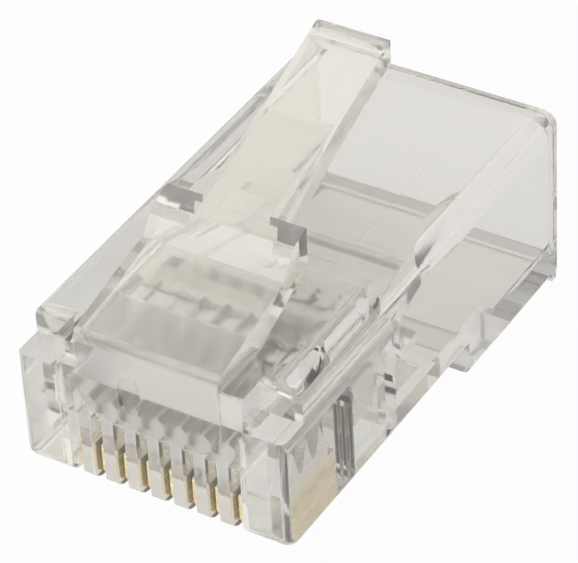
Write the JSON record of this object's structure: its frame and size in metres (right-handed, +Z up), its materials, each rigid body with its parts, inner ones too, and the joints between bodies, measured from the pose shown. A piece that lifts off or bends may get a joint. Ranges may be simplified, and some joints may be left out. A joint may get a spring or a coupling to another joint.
{
  "type": "modular plug",
  "caption": "Clear eight-way modular plug with a spring latch, gold contact blades in nose slots, crimp bars under a stepped cable entry.",
  "frame": {"origin": "centre of the underside, at the middle of the bounding box", "axes": "+X across the width, +Y from the nose to the cable end, +Z up to the latch side"},
  "size_m": [0.0116, 0.0212, 0.0138],
  "materials": {
    "clear_plastic": "clear moulded plastic, polished, very slightly warm",
    "contact_gold": "thin gold plating on stamped bronze"
  },
  "bodies": {
    "housing": {"housing": "clear_plastic"},
    "latch": {"latch": "clear_plastic"},
    "jacket_clamp": {"jacket_clamp": "clear_plastic"},
    "wire_clamp": {"wire_clamp": "clear_plastic"},
    "contact_1": {"contact_1": "contact_gold"},
    "contact_2": {"contact_2": "contact_gold"},
    "contact_3": {"contact_3": "contact_gold"},
    "contact_4": {"contact_4": "contact_gold"},
    "contact_5": {"contact_5": "contact_gold"},
    "contact_6": {"contact_6": "contact_gold"},
    "contact_7": {"contact_7": "contact_gold"},
    "contact_8": {"contact_8": "contact_gold"}
  },
  "joints": [
    {"name": "latch_press", "type": "hinge", "parent": "housing", "child": "latch", "pos_m": [0, -0.00764, 0.00825], "axis": [-1, 0, 0], "range_deg": [0, 16], "stiffness_Nm_per_rad": 0.15},
    {"name": "jacket_clamp_fold", "type": "hinge", "parent": "housing", "child": "jacket_clamp", "pos_m": [0, -0.00138, 0.00319], "axis": [1, 0, 0], "range_deg": [0, 25]},
    {"name": "wire_clamp_fold", "type": "hinge", "parent": "housing", "child": "wire_clamp", "pos_m": [0, -0.00494, 0.00482], "axis": [1, 0, 0], "range_deg": [0, 14]},
    {"name": "contact_1_crimp", "type": "slide", "parent": "housing", "child": "contact_1", "axis": [0, 0, 1], "range_m": [0, 0.00065]},
    {"name": "contact_2_crimp", "type": "slide", "parent": "housing", "child": "contact_2", "axis": [0, 0, 1], "range_m": [0, 0.00065]},
    {"name": "contact_3_crimp", "type": "slide", "parent": "housing", "child": "contact_3", "axis": [0, 0, 1], "range_m": [0, 0.00065]},
    {"name": "contact_4_crimp", "type": "slide", "parent": "housing", "child": "contact_4", "axis": [0, 0, 1], "range_m": [0, 0.00065]},
    {"name": "contact_5_crimp", "type": "slide", "parent": "housing", "child": "contact_5", "axis": [0, 0, 1], "range_m": [0, 0.00065]},
    {"name": "contact_6_crimp", "type": "slide", "parent": "housing", "child": "contact_6", "axis": [0, 0, 1], "range_m": [0, 0.00065]},
    {"name": "contact_7_crimp", "type": "slide", "parent": "housing", "child": "contact_7", "axis": [0, 0, 1], "range_m": [0, 0.00065]},
    {"name": "contact_8_crimp", "type": "slide", "parent": "housing", "child": "contact_8", "axis": [0, 0, 1], "range_m": [0, 0.00065]}
  ]
}
